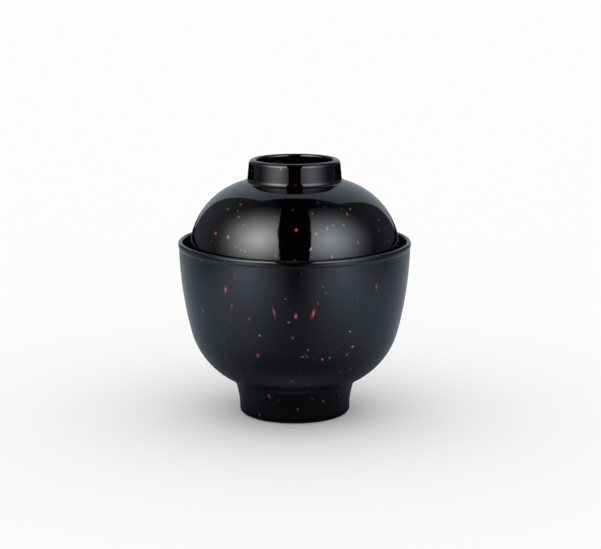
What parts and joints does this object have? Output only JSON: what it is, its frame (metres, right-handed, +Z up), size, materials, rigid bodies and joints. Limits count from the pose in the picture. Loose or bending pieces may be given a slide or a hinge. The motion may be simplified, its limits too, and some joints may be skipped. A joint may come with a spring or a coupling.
{
  "type": "lidded soup bowl",
  "caption": "Lidded soup bowl: a deep round bowl on a tall foot ring, and a loose domed lid that drops into its mouth and lifts off by a grip ring.",
  "frame": {"origin": "centre of the face that the foot ring rests on", "axes": "+Z up along the axis of the bowl and lid; both are round, so X and Y have no other mark"},
  "size_m": [0.095, 0.095, 0.105],
  "materials": {
    "bowl_satin": "satin black moulded resin with random red flecks",
    "lid_gloss": "glossy black moulded resin with random red flecks"
  },
  "bodies": {
    "bowl": {"bowl": "bowl_satin"},
    "lid": {"lid": "lid_gloss"}
  },
  "joints": [
    {"name": "lid_lift", "type": "slide", "parent": "bowl", "child": "lid", "axis": [0, 0, 1], "range_m": [0, 0.08]}
  ]
}
